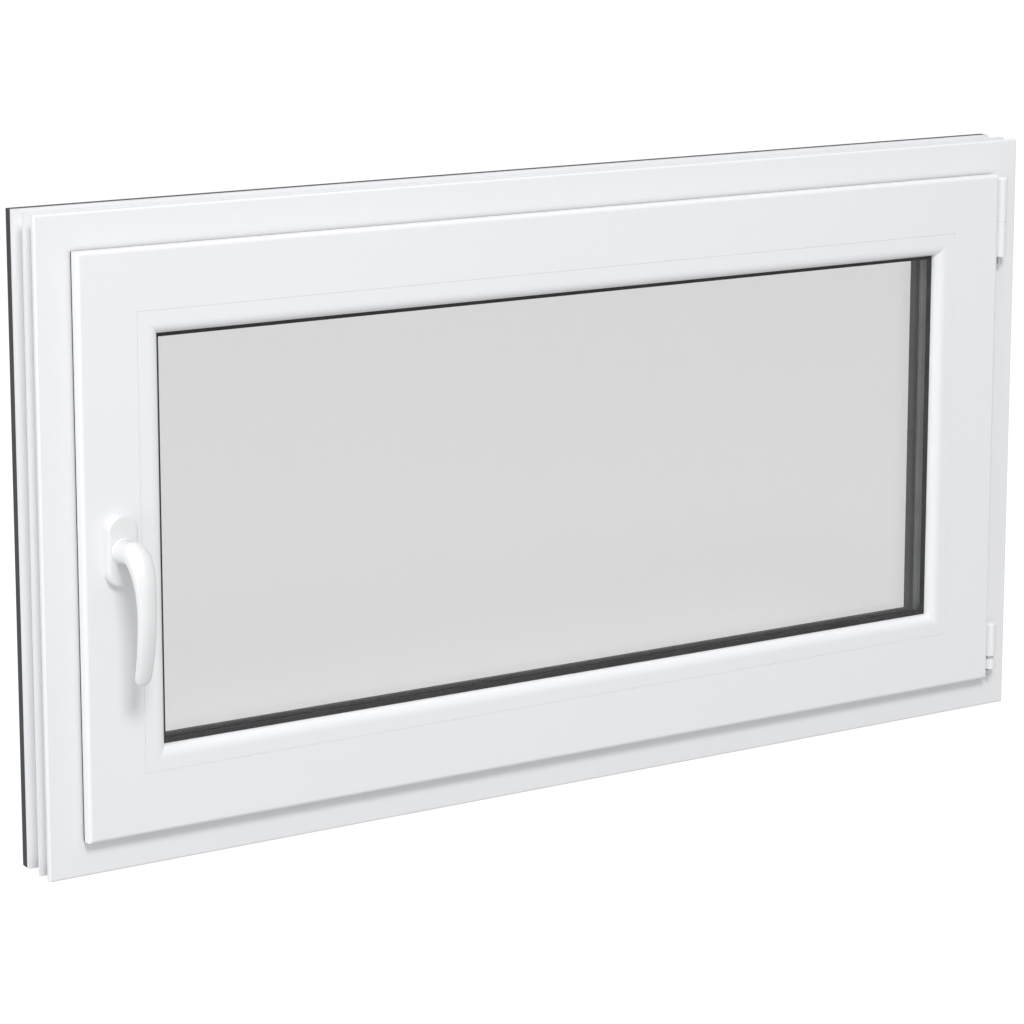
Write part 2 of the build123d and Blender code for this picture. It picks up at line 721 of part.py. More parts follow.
plate_depths = (groove_near + 0.1, groove_far - 0.1)
plate_insets = (body_inset, body_inset + groove_lip)
guide_slack = 0.8
with BuildPart() as stay_guide:
    bar_box("top", along_bar("top", stud_x + 10), 90, plate_insets, plate_depths)
    guide_depths = (groove_centre - stud_radius - guide_slack, groove_centre + stud_radius + guide_slack)
    bar_box("top", along_bar("top", stud_x + 3), 24, plate_insets, guide_depths, Mode.SUBTRACT)
save(stay_guide, "stay_guide")

# ---- handle ----
rosette_plane = Plane(origin=(handle_x, room_face - sash_proud, handle_z), x_dir=(1, 0, 0), z_dir=(0, -1, 0))
base_thickness = 3.0
cover_wall = 1.8
with BuildPart() as handle_base:
    with BuildSketch(rosette_plane):
        SlotOverall(rosette[1] - 2 * cover_wall - 0.4, rosette[0] - 2 * cover_wall - 0.4, rotation=90)
    extrude(amount=base_thickness)
    with BuildSketch(rosette_plane):
        Circle(6.0)
        with Locations((0, screw_spacing / 2), (0, -screw_spacing / 2)):
            Circle(2.7)
    extrude(amount=base_thickness, mode=Mode.SUBTRACT)
save(handle_base, "handle_base")

with BuildPart() as rosette_cover:
    with BuildSketch(rosette_plane):
        SlotOverall(rosette[1], rosette[0], rotation=90)
    extrude(amount=rosette[2])
    fillet(rosette_cover.faces().sort_by(Axis.Y)[0].edges(), 3.5)
    with BuildSketch(rosette_plane):
        SlotOverall(rosette[1] - 2 * cover_wall, rosette[0] - 2 * cover_wall, rotation=90)
    extrude(amount=rosette[2] - cover_wall - 0.6, mode=Mode.SUBTRACT)
    with BuildSketch(rosette_plane):
        Circle(neck_radius + neck_gap)
    extrude(amount=rosette[2], mode=Mode.SUBTRACT)
save(rosette_cover, "rosette_cover")

with BuildPart() as handle_screws:
    for z in (handle_z - screw_spacing / 2, handle_z + screw_spacing / 2):
        crosswise(handle_x, z, -sash_proud - base_thickness, gearbox_far - 1, 2.5)
        crosswise(handle_x, z, -sash_proud - base_thickness - 2.2, -sash_proud - base_thickness, 4.6)
save(handle_screws, "handle_screws")

# The lever's line, as stations: depth, drop below the spindle, turn of the section from upright, half width
# and half thickness.
lever_foot = -sash_proud - base_thickness - lever_gap
lever_stations = [
    (lever_foot - neck_length, 0.0, 0.0, neck_radius, neck_radius),
    (-40.0, -1.0, 5.0, 11.0, 11.0),
    (-53.0, 2.0, 28.0, 11.6, 11.2),
    (-62.5, 14.0, 58.0, 10.8, 9.4),
    (-67.5, 34.0, 82.0, 9.3, 7.0),
    (-68.0, 58.0, 92.0, 8.8, 5.8),
    (-64.5, 84.0, 102.0, 8.5, 5.2),
    (-59.5, 103.0, 108.0, 8.0, 4.8),
    (-57.0, 110.5, 111.0, 6.9, 4.2),
    (-56.0, 113.5, 112.0, 4.6, 2.8),
]
lever_end_round = 1.2
socket_depth = 26.0
with BuildPart() as handle_lever:
    for depth, drop, turn, half_wide, half_thick in lever_stations:
        centre = (handle_x, room_face + depth, handle_z - drop)
        ahead = Vector(0, -1, 0).rotate(Axis.X, turn)
        with BuildSketch(Plane(origin=centre, x_dir=(1, 0, 0), z_dir=ahead)):
            Ellipse(half_wide, half_thick)
    loft()
    fillet(handle_lever.faces().sort_by(Axis.Z)[0].edges(), lever_end_round)
    crosswise(handle_x, handle_z, lever_foot - neck_length, lever_foot, neck_radius)
    span_box(
        (handle_x - spindle / 2 - spindle_gap, handle_x + spindle / 2 + spindle_gap),
        (lever_foot - socket_depth, lever_foot),
        (handle_z - spindle / 2 - spindle_gap, handle_z + spindle / 2 + spindle_gap),
        Mode.SUBTRACT,
    )
save(handle_lever, "handle_lever")

with BuildPart() as handle_spindle:
    span_box(
        (handle_x - spindle / 2, handle_x + spindle / 2),
        (lever_foot - socket_depth + 0.5, spindle_end),
        (handle_z - spindle / 2, handle_z + spindle / 2),
    )
save(handle_spindle, "handle_spindle")

# ---- drive gear ----
gear_radius = gear_ratio - (gearbox_inset - handle_inset + gear_ratio) - 0.1
hub_radius = 7.0
gear_depths = (groove_centre - 3.0, groove_centre + 3.0)
with BuildPart() as gear_follower:
    crosswise(handle_x, handle_z, *gear_depths, gear_radius)
    crosswise(handle_x, handle_z, gearbox_near, gearbox_far, hub_radius)
    socket = spindle / 2 + spindle_gap
    span_box(
        (handle_x - socket, handle_x + socket), (-20, 40), (handle_z - socket, handle_z + socket), Mode.SUBTRACT
    )
save(gear_follower, "gear_follower")

with BuildPart() as gearbox:
    box_xs = (-half_width + gearbox_inset, -half_width + gearbox_inset + gearbox_width)
    span_box(box_xs, (gearbox_near, gearbox_far), gearbox_zs)
    crosswise(handle_x, handle_z, gear_depths[0] - 0.3, gear_depths[1] + 0.3, gear_radius + 0.5, Mode.SUBTRACT)
    crosswise(handle_x, handle_z, gearbox_near, gearbox_far, hub_radius + 0.08, Mode.SUBTRACT)
    for z in (handle_z - screw_spacing / 2, handle_z + screw_spacing / 2):
        crosswise(handle_x, z, gearbox_near, gearbox_far, 2.5 + running_gap, Mode.SUBTRACT)
save(gearbox, "gearbox")

# ---- rods, cams and faceplates on the sash edge ----
rod_insets = (rod_top_inset, rod_top_inset + rod[0])
rod_depths = (groove_centre - rod[1] / 2, groove_centre + rod[1] / 2)
corner_clear = body_inset + corner_leg + 3
far_end = window_width / 2 - 170.0
rod_spans = {
    "left": (corner_clear + travel, window_height - corner_clear),
    "top": (-half_width + corner_clear + travel, stud_x - 60),
    "bottom": (-half_width + corner_clear, far_end),
}
cams_on = {"left": left_cams, "top": top_cams, "bottom": bottom_cams}
rod_ways = {"left": -1, "top": -1, "bottom": 1}  # which way each rod runs as the handle leaves closed
for side, (start, end) in rod_spans.items():
    middle = along_bar(side, (start + end) / 2)
    with BuildPart() as drive_rod:
        bar_box(side, middle, end - start, rod_insets, rod_depths)
    save(drive_rod, f"drive_rod_{side}")
    with BuildPart() as cams:
        for place in cams_on[side]:
            along = along_bar(side, place)
            bar_pin(side, along, groove_centre, (cam_tip + 2.5, rod_top_inset), cam_radius)
            bar_pin(side, along, groove_centre, (cam_tip, cam_tip + 2.5), cam_head)
    save(cams, f"cams_{side}")
    plate_start = start - (travel if rod_ways[side] < 0 else 0) - 2.5
    plate_end = end + (travel if rod_ways[side] > 0 else 0) + 2.5
    with BuildPart() as faceplate:
        bar_box(side, along_bar(side, (plate_start + plate_end) / 2), plate_end - plate_start, plate_insets, plate_depths)
        for place in cams_on[side]:
            slot_middle = place + rod_ways[side] * travel / 2
            slot_depths = (groove_centre - cam_radius - 0.5, groove_centre + cam_radius + 0.5)
            slot_length = travel + 2 * cam_radius + 2
            bar_box(side, along_bar(side, slot_middle), slot_length, plate_insets, slot_depths, Mode.SUBTRACT)
    save(faceplate, f"faceplate_{side}")

with BuildPart() as corner_drives:
    for z_corner, up in ((0, 1), (window_height, -1)):
        for insets, depths in (
            (plate_insets, plate_depths),
            ((plate_insets[1], slot_floor - 0.2), (slot_near + 0.2, slot_far - 0.2)),
        ):
            near, far = insets
            leg = body_inset + corner_leg
            z_near, z_far, z_leg = (z_corner + up * value for value in (near, far, leg))
            span_box((-half_width + near, -half_width + leg), depths, sorted((z_near, z_far)))
            span_box((-half_width + near, -half_width + far), depths, sorted((z_near, z_leg)))
save(corner_drives, "corner_drives")
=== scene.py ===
# %% [markdown]
# # A tilt-and-turn casement window
#
# The construction model brings every working part at its real size: bars, glass, hinges, handle and drive.
# This lesson gives those parts their finishes and adds the small things that a drawing leaves out, such as
# screw heads and the perforations of the spacer bar. Nothing that the model places is moved.

# %% Load the construction model
import json
import math

import bmesh
import bpy
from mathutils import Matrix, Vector


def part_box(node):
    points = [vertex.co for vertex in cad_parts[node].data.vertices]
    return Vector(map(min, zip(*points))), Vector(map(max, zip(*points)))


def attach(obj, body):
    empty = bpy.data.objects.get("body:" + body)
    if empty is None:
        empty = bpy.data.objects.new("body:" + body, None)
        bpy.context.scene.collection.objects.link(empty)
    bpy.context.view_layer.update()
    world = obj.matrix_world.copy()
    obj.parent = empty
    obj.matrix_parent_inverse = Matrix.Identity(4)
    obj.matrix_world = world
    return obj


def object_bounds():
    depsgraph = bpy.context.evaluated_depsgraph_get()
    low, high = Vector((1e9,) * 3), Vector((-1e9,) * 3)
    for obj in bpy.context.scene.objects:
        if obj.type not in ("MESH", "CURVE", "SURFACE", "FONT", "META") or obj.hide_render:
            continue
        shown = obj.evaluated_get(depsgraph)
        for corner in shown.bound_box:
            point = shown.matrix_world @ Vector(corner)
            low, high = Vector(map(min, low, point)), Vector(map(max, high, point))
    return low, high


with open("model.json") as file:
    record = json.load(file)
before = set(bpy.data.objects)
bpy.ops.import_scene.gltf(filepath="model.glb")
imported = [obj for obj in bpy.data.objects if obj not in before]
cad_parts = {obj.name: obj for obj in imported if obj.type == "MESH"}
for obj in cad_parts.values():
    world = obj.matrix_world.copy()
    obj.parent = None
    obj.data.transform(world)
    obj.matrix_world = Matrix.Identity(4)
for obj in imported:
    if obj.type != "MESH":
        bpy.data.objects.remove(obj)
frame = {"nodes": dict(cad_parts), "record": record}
nodes = frame["nodes"]
cad_low, cad_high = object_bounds()
mm = 0.001
print("construction nodes:", len(nodes), "size:", [round(v, 3) for v in cad_high - cad_low])

# %% [markdown]
# ## Light and colour
#
# White plastic looks like plastic only when its faces differ a little in brightness. An even pale sky could
# do all the lighting, but every face would then be the same white. So the sky gives the soft base, and
# lamps give the differences. The view transform is Standard, so that white stays white.
#
# The sky shows pure white to the eye and through the glass, and is dimmer as a light, as a lit paper
# backdrop is. A Light Path node tells the two uses apart, so this needs no second sky and no plane behind
# the window.

# %% Sky
scene = bpy.context.scene
scene.view_settings.view_transform = "Standard"
scene.view_settings.look = "None"
backdrop_white = 1.0
sky_light = 0.575


def link(tree, start, end):
    """Join two sockets."""
    tree.links.new(start, end)


def add_node(tree, kind, **settings):
    """A new node with some of its settings."""
    node = tree.nodes.new(kind)
    for key, value in settings.items():
        setattr(node, key, value)
    return node


def seen_or_light(tree, seen, light):
    """A strength that is one value where it is seen, also through glass, and another where it lights."""
    path = add_node(tree, "ShaderNodeLightPath")
    looked_at = add_node(tree, "ShaderNodeMath", operation="MAXIMUM")
    link(tree, path.outputs["Is Camera Ray"], looked_at.inputs[0])
    link(tree, path.outputs["Is Transmission Ray"], looked_at.inputs[1])
    strength = add_node(tree, "ShaderNodeMapRange")
    strength.inputs["To Min"].default_value = light
    strength.inputs["To Max"].default_value = seen
    link(tree, looked_at.outputs[0], strength.inputs["Value"])
    return strength.outputs["Result"]


world = bpy.data.worlds.new("studio_sky")
scene.world = world
world.use_nodes = True
sky = world.node_tree.nodes["Background"]
sky.inputs["Color"].default_value = (1.0, 1.0, 1.0, 1.0)
link(world.node_tree, seen_or_light(world.node_tree, backdrop_white, sky_light), sky.inputs["Strength"])
print("sky as a light:", sky_light)

# %% [markdown]
# The key lamp hangs high on the left and in front, and gives the short shadows under each edge. It is over
# a metre wide, so that the lever's long shadow is soft while the sash's short one stays clear. Two wide
# soft boxes lift the faces that look up and to the left.

# %% Lamps
window_middle = Vector((0.0, 0.0, (cad_low.z + cad_high.z) / 2))


def area_lamp(name, towards, distance, size, power):
    """A square lamp that shines along a direction at the middle of the window."""
    lamp = bpy.data.lights.new(name, "AREA")
    lamp.size = size
    lamp.energy = power
    holder = bpy.data.objects.new(name, lamp)
    direction = Vector(towards).normalized()
    holder.location = window_middle - direction * distance
    holder.rotation_euler = direction.to_track_quat("-Z", "Y").to_euler()
    scene.collection.objects.link(holder)
    print(name, "at", [round(v, 2) for v in holder.location])


area_lamp("key_lamp", towards=(0.39, 1.0, -0.90), distance=5.0, size=1.2, power=119.0)
area_lamp("top_box", towards=(0.0, -0.1, -1.0), distance=3.0, size=3.0, power=14.0)
area_lamp("left_box", towards=(1.0, 0.05, -0.10), distance=6.0, size=2.0, power=104.0)

# %% [markdown]
# The floor is a plain pale sheet just under the frame's underside, wide enough to fill the view from any
# side. One square face is enough. Its material comes later, with the other finishes.

# %% Floor
floor_reach = 15.0
floor_drop = 0.3 * mm
floor_height = cad_low.z - floor_drop
floor_corners = [
    (x * floor_reach, y * floor_reach, floor_height) for x, y in ((-1, -1), (1, -1), (1, 1), (-1, 1))
]
floor_mesh = bpy.data.meshes.new("floor")
floor_mesh.from_pydata(floor_corners, [], [(0, 1, 2, 3)])
floor = bpy.data.objects.new("floor", floor_mesh)
scene.collection.objects.link(floor)
print("floor at", round(floor_height, 4))

# %% [markdown]
# ## Camera
#
# The window is seen from its left and from a little above, through a long lens, so that the near edge is
# only slightly taller than the far edge. A small vertical shift keeps the upright edges nearly upright.

# %% Camera
camera_data = bpy.data.cameras.new("camera")
camera = bpy.data.objects.new("camera", camera_data)
scene.collection.objects.link(camera)
scene.camera = camera
camera_data.sensor_width = 36.0
camera_data.lens = 117.92
camera_data.shift_y = -0.15
camera_data.clip_start = 0.05
camera_data.clip_end = 100.0
camera_yaw = math.radians(32.04)
camera_pitch = math.radians(10.21)
camera.location = (-1.7178, -2.6648, 0.9902)
camera.rotation_euler = (math.pi / 2 - camera_pitch, 0.0, -camera_yaw)
print("camera at", [round(v, 3) for v in camera.location])

# %% [markdown]
# ## Finishes
#
# Most surfaces of a window are plain, so their finish is in small things: a faint unevenness in colour, a
# little more or less gloss, and a very fine grain. Each material could have its own textures. One node
# group that makes the three signals is shorter, and each material mixes them in its own amounts. The
# texture space is the object's own, in metres, so a scale of 1000 is a grain of about a millimetre.

# %% The shared surface group
number = "NodeSocketFloat"
surface_group = bpy.data.node_groups.new("surface_signals", "ShaderNodeTree")
for socket_name, default in (("Grain Scale", 900.0), ("Patch Scale", 6.0), ("Stretch", 1.0)):
    socket = surface_group.interface.new_socket(socket_name, in_out="INPUT", socket_type=number)
    socket.default_value = default
for socket_name in ("Grain", "Patch", "Speck"):
    surface_group.interface.new_socket(socket_name, in_out="OUTPUT", socket_type=number)


def noise(tree, vector, scale, detail, roughness):
    """A noise texture on a vector; the scale is a number or a socket."""
    node = add_node(tree, "ShaderNodeTexNoise")
    link(tree, vector, node.inputs["Vector"])
    if isinstance(scale, float):
        node.inputs["Scale"].default_value = scale
    else:
        link(tree, scale, node.inputs["Scale"])
    node.inputs["Detail"].default_value = detail
    node.inputs["Roughness"].default_value = roughness
    return node.outputs["Fac"]


speck_scale = 260.0
group_in = add_node(surface_group, "NodeGroupInput")
group_out = add_node(surface_group, "NodeGroupOutput")
place = add_node(surface_group, "ShaderNodeTexCoord").outputs["Object"]
stretch = add_node(surface_group, "ShaderNodeCombineXYZ")
stretch.inputs["Y"].default_value = 1.0
stretch.inputs["Z"].default_value = 1.0
link(surface_group, group_in.outputs["Stretch"], stretch.inputs["X"])
stretched = add_node(surface_group, "ShaderNodeVectorMath", operation="MULTIPLY")
link(surface_group, place, stretched.inputs[0])
link(surface_group, stretch.outputs[0], stretched.inputs[1])
grain = noise(surface_group, stretched.outputs[0], group_in.outputs["Grain Scale"], 3.0, 0.6)
patch = noise(surface_group, place, group_in.outputs["Patch Scale"], 4.0, 0.55)
speck = noise(surface_group, place, speck_scale, 1.0, 0.4)
for socket_name, signal in (("Grain", grain), ("Patch", patch), ("Speck", speck)):
    link(surface_group, signal, group_out.inputs[socket_name])
print("surface group nodes:", len(surface_group.nodes))

# %% [markdown]
# A noise texture seldom leaves the middle of its range, so the signals are stretched from 0.3 to 0.7 onto
# the range that is wanted. The patch signal picks the tone between a dark and a light one, the speck signal
# picks the gloss, and the grain feeds a bump of a real height in metres.

# %% From signals to a material
noise_low = 0.3
noise_high = 0.7


def blend_range(tree, signal, low, high):
    """The signal mapped to a range."""
    node = add_node(tree, "ShaderNodeMapRange")
    link(tree, signal, node.inputs["Value"])
    node.inputs["From Min"].default_value = noise_low
    node.inputs["From Max"].default_value = noise_high
    node.inputs["To Min"].default_value = low
    node.inputs["To Max"].default_value = high
    return node.outputs["Result"]


def blank_material(name):
    """A new material, with its tree and its shader."""
    material = bpy.data.materials.new(name)
    material.use_nodes = True
    return material, material.node_tree, material.node_tree.nodes["Principled BSDF"]


def shade(tree, shader, tone, dark, light, gloss_signal, gloss, height, depth):
    """Colour between two tones, roughness between two values, and a bump."""
    mix = add_node(tree, "ShaderNodeMix", data_type="RGBA")
    link(tree, blend_range(tree, tone, 0.0, 1.0), mix.inputs["Factor"])
    mix.inputs["A"].default_value = (*dark, 1.0)
    mix.inputs["B"].default_value = (*light, 1.0)
    link(tree, mix.outputs["Result"], shader.inputs["Base Color"])
    link(tree, blend_range(tree, gloss_signal, *gloss), shader.inputs["Roughness"])
    bump = add_node(tree, "ShaderNodeBump")
    bump.inputs["Distance"].default_value = depth
    bump.inputs["Strength"].default_value = 1.0
    link(tree, height, bump.inputs["Height"])
    link(tree, bump.outputs["Normal"], shader.inputs["Normal"])


def finish(name, dark, light, gloss, grain_scale, grain_depth, patch_scale, stretch_x=1.0, **constants):
    """A material from the shared signals; constants are sockets of the shader itself."""
    material, tree, shader = blank_material(name)
    signals = add_node(tree, "ShaderNodeGroup", node_tree=surface_group)
    signals.inputs["Grain Scale"].default_value = grain_scale
    signals.inputs["Patch Scale"].default_value = patch_scale
    signals.inputs["Stretch"].default_value = stretch_x
    shade(
        tree, shader, signals.outputs["Patch"], dark, light,
        signals.outputs["Speck"], gloss, signals.outputs["Grain"], grain_depth,
    )
    for socket, value in constants.items():
        shader.inputs[socket.replace("_", " ")].default_value = value
    print(name, "roughness", gloss)
    return material


# %% [markdown]
# ### White plastic and white lacquer
#
# Extruded window plastic is a slightly cold white with a satin gloss, and almost perfectly even: any
# stronger noise would show as stains. The lever and its rosette are die-cast metal under a lacquer, a touch
# less bright.

# %% Whites
white_pvc = finish(
    "white_pvc", (0.846, 0.853, 0.868), (0.858, 0.865, 0.880), gloss=(0.29, 0.31),
    grain_scale=500.0, grain_depth=0.001 * mm, patch_scale=3.0,
)
powder_white = finish(
    "powder_white", (0.785, 0.790, 0.797), (0.803, 0.808, 0.815), gloss=(0.30, 0.33),
    grain_scale=900.0, grain_depth=0.002 * mm, patch_scale=8.0,
)

# %% [markdown]
# ### Black rubber and sealant
#
# Gaskets are extruded rubber with a dull, powdery skin. The sealant behind the spacer bar is gunned in and
# pressed flat, so its bump is coarser and deeper.

# %% Blacks
rubber = finish(
    "gasket_rubber", (0.018, 0.018, 0.019), (0.032, 0.032, 0.033), gloss=(0.55, 0.75),
    grain_scale=1200.0, grain_depth=0.04 * mm, patch_scale=30.0,
)
# This black is also used for the perforation dots, as painted shade inside the holes.
sealant = finish(
    "black_sealant", (0.010, 0.010, 0.011), (0.020, 0.020, 0.021), gloss=(0.5, 0.7),
    grain_scale=500.0, grain_depth=0.08 * mm, patch_scale=30.0,
)

# %% [markdown]
# ### Metals
#
# The drive is zinc plated and fairly even. The steel in the bars is hot-dip galvanised, with the larger
# spangles of that process. The spacer bar is a rolled strip, so its grain is stretched along it.

# %% Metals
zinc = finish(
    "zinc_plate", (0.70, 0.71, 0.72), (0.80, 0.81, 0.82), gloss=(0.30, 0.40),
    grain_scale=900.0, grain_depth=0.01 * mm, patch_scale=40.0, Metallic=1.0,
)
galvanised = finish(
    "galvanised", (0.45, 0.47, 0.49), (0.62, 0.64, 0.66), gloss=(0.4, 0.6),
    grain_scale=160.0, grain_depth=0.03 * mm, patch_scale=60.0, Metallic=1.0,
)
spacer_metal = finish(
    "spacer_metal", (0.13, 0.135, 0.14), (0.18, 0.185, 0.19), gloss=(0.32, 0.45),
    grain_scale=1500.0, grain_depth=0.02 * mm, patch_scale=20.0, stretch_x=0.1, Metallic=0.8,
)

# %% [markdown]
# ### Glass and the packers under it
#
# Float glass is a smooth dielectric. Two panes let through a little less light than one, and the tone is
# set so that the pair looks like a pale grey against a white backdrop. The packers are a plain moulded
# blue.

# %% Glass and packers
glass = finish(
    "clear_glass", (0.792, 0.793, 0.792), (0.796, 0.797, 0.796), gloss=(0.0, 0.004),
    grain_scale=20.0, grain_depth=0.0, patch_scale=2.0, Transmission_Weight=1.0, IOR=1.5,
)
packer = finish(
    "packer_plastic", (0.20, 0.30, 0.45), (0.25, 0.36, 0.52), gloss=(0.4, 0.55),
    grain_scale=300.0, grain_depth=0.05 * mm, patch_scale=20.0,
)

# %% [markdown]
# ### The floor's paper
#
# It is a light table: most of its brightness is its own, so that only a faint shadow shows on it. Like the
# sky, it is brighter where it is seen than where it lights the window from below.

# %% Floor paper
paper_seen = 0.88
paper_light = 0.36
floor_paper = finish(
    "floor_paper", (0.21, 0.21, 0.21), (0.22, 0.22, 0.22), gloss=(0.8, 0.9),
    grain_scale=300.0, grain_depth=0.02 * mm, patch_scale=1.0,
)
paper_tree = floor_paper.node_tree
paper_shader = paper_tree.nodes["Principled BSDF"]
paper_shader.inputs["Emission Color"].default_value = (1.0, 1.0, 1.0, 1.0)
link(paper_tree, seen_or_light(paper_tree, paper_seen, paper_light), paper_shader.inputs["Emission Strength"])
floor.data.materials.append(floor_paper)
print("materials:", len(bpy.data.materials))

# %% [markdown]
# ### The dark foil
#
# The outer faces carry a foil with an embossed grain that runs along each bar and meets at the mitres. One
# noise texture can do this if its space is squeezed along the bar. Which bar a point belongs to follows
# from its distances to the window's sides: nearer to the left or right side than to the top or bottom is an
# upright bar.

# %% Foil grain group
foil_group = bpy.data.node_groups.new("foil_grain", "ShaderNodeTree")
for socket_name in ("Half Width", "Half Height", "Middle Height", "Grain Scale", "Squeeze"):
    foil_group.interface.new_socket(socket_name, in_out="INPUT", socket_type=number)
foil_group.interface.new_socket("Grain", in_out="OUTPUT", socket_type=number)
foil_in = add_node(foil_group, "NodeGroupInput").outputs
foil_out = add_node(foil_group, "NodeGroupOutput")


def calculate(tree, operation, first, second=None):
    """A Math node on one or two sockets."""
    node = add_node(tree, "ShaderNodeMath", operation=operation)
    link(tree, first, node.inputs[0])
    if second is not None:
        link(tree, second, node.inputs[1])
    return node.outputs[0]


foil_place = add_node(foil_group, "ShaderNodeTexCoord").outputs["Object"]
foil_axes = add_node(foil_group, "ShaderNodeSeparateXYZ")
link(foil_group, foil_place, foil_axes.inputs[0])
from_middle = calculate(foil_group, "SUBTRACT", foil_axes.outputs["Z"], foil_in["Middle Height"])
sideways = calculate(foil_group, "ABSOLUTE", foil_axes.outputs["X"])
up_or_down = calculate(foil_group, "ABSOLUTE", from_middle)
side_distance = calculate(foil_group, "SUBTRACT", foil_in["Half Width"], sideways)
end_distance = calculate(foil_group, "SUBTRACT", foil_in["Half Height"], up_or_down)
upright = calculate(foil_group, "LESS_THAN", side_distance, end_distance)
squeezes = add_node(foil_group, "ShaderNodeCombineXYZ")
squeezes.inputs["Y"].default_value = 1.0
for axis, squeezed_end in (("X", "To Min"), ("Z", "To Max")):
    choose = add_node(foil_group, "ShaderNodeMapRange")
    choose.inputs["To Min"].default_value = 1.0
    choose.inputs["To Max"].default_value = 1.0
    link(foil_group, upright, choose.inputs["Value"])
    link(foil_group, foil_in["Squeeze"], choose.inputs[squeezed_end])
    link(foil_group, choose.outputs["Result"], squeezes.inputs[axis])
foil_space = add_node(foil_group, "ShaderNodeVectorMath", operation="MULTIPLY")
link(foil_group, foil_place, foil_space.inputs[0])
link(foil_group, squeezes.outputs[0], foil_space.inputs[1])
foil_noise = noise(foil_group, foil_space.outputs[0], foil_in["Grain Scale"], 3.0, 0.6)
link(foil_group, foil_noise, foil_out.inputs["Grain"])
print("foil group nodes:", len(foil_group.nodes))

# %% [markdown]
# In the foil's material one signal does everything: the pores are deeper and duller than the ridges between
# them, and the same signal colours them darker, which is painted shade in the hollows.

# %% Foil material
anthracite, foil_tree, foil_shader = blank_material("anthracite_foil")
foil = add_node(foil_tree, "ShaderNodeGroup", node_tree=foil_group)
for socket_name, value in (
    ("Half Width", cad_high.x), ("Half Height", cad_high.z - window_middle.z),
    ("Middle Height", window_middle.z), ("Grain Scale", 750.0), ("Squeeze", 0.035),
):
    foil.inputs[socket_name].default_value = value
foil_signal = foil.outputs["Grain"]
# The darker tone where the grain is deepest is painted shade in the pores.
shade(
    foil_tree, foil_shader, foil_signal, (0.022, 0.025, 0.028), (0.034, 0.037, 0.041),
    foil_signal, (0.54, 0.44), foil_signal, 0.04 * mm,
)
print("foil grain round the middle height", round(window_middle.z, 3))

# %% [markdown]
# ## Dressing the model's own parts
#
# Each record slot gets one finish, and every node takes the finish of its slot. The hinge covers are
# snapped-on shells of the same plastic as the frame, so they take its finish and not the lever's lacquer.
# The panes cast no shadow, because light that goes through clear glass is hardly dimmed.

# %% Finishes on the nodes
slot_finish = {
    "white_pvc": white_pvc,
    "white_hardware": powder_white,
    "anthracite_skin": anthracite,
    "gasket_rubber": rubber,
    "black_sealant": sealant,
    "spacer_grey": spacer_metal,
    "zinc_steel": zinc,
    "galvanised_steel": galvanised,
    "packer_plastic": packer,
    "clear_glass": glass,
}
for subpart in frame["record"]["subparts"]:
    mesh = nodes[subpart["node"]].data
    mesh.materials.clear()
    mesh.materials.append(slot_finish[subpart["material_slot"]])
for name in ("lower_bearing", "corner_pivot_cover", "stay_bearing", "stay_cover"):
    nodes[name].data.materials[0] = white_pvc
for name in ("inner_pane", "outer_pane"):
    nodes[name].visible_shadow = False

# %% [markdown]
# ## Small things that repeat
#
# The spacer bar between the panes is perforated along both edges, so that the drying agent inside it can
# take up moisture. The faceplates of the drive are held by small countersunk screws with a cross recess.
# Each is one tiny model at many places. They could be modelled one by one, but Geometry Nodes keep the
# spacing as a number: a path is cut into equal steps, one instance goes on each step, and the result is
# made a plain mesh.

# %% Helpers for the trees


def nodes_tree(name, inputs):
    """A geometry tree with named inputs, and its input and output nodes."""
    tree = bpy.data.node_groups.new(name, "GeometryNodeTree")
    tree.interface.new_socket("Geometry", in_out="INPUT", socket_type="NodeSocketGeometry")
    tree.interface.new_socket("Geometry", in_out="OUTPUT", socket_type="NodeSocketGeometry")
    for label, kind in inputs:
        tree.interface.new_socket(label, in_out="INPUT", socket_type=kind)
    return tree, add_node(tree, "NodeGroupInput"), add_node(tree, "NodeGroupOutput")


def facing_instances(tree, points, facing, model):
    """Instances of a model on points, with the model's Z along a direction."""
    turn = add_node(tree, "FunctionNodeAlignRotationToVector", axis="Z")
    link(tree, facing, turn.inputs["Vector"])
    spread = add_node(tree, "GeometryNodeInstanceOnPoints")
    link(tree, points, spread.inputs["Points"])
    link(tree, model, spread.inputs["Instance"])
    link(tree, turn.outputs["Rotation"], spread.inputs["Rotation"])
    return spread.outputs["Instances"]


def close_tree(tree, start, end, instances):
    """Realise the instances, give them the material and put them out."""
    real = add_node(tree, "GeometryNodeRealizeInstances")
    dress = add_node(tree, "GeometryNodeSetMaterial")
    link(tree, instances, real.inputs["Geometry"])
    link(tree, real.outputs["Geometry"], dress.inputs["Geometry"])
    link(tree, start.outputs["Material"], dress.inputs["Material"])
    link(tree, dress.outputs["Geometry"], end.inputs["Geometry"])
    print(tree.name, "nodes:", len(tree.nodes))


# %% [markdown]
# A tree runs in a modifier, on a helper object whose mesh is only the path. The modifier's inputs are set
# by the identifiers of their sockets, the evaluated result is copied into a plain mesh, and the helper goes
# away.

# %% From a tree to a plain piece


def show(name, mesh, body):
    """A piece of the window: its object and the body it rides on."""
    piece = bpy.data.objects.new(name, mesh)
    scene.collection.objects.link(piece)
    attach(piece, body)
    print(name, "faces:", len(mesh.polygons))


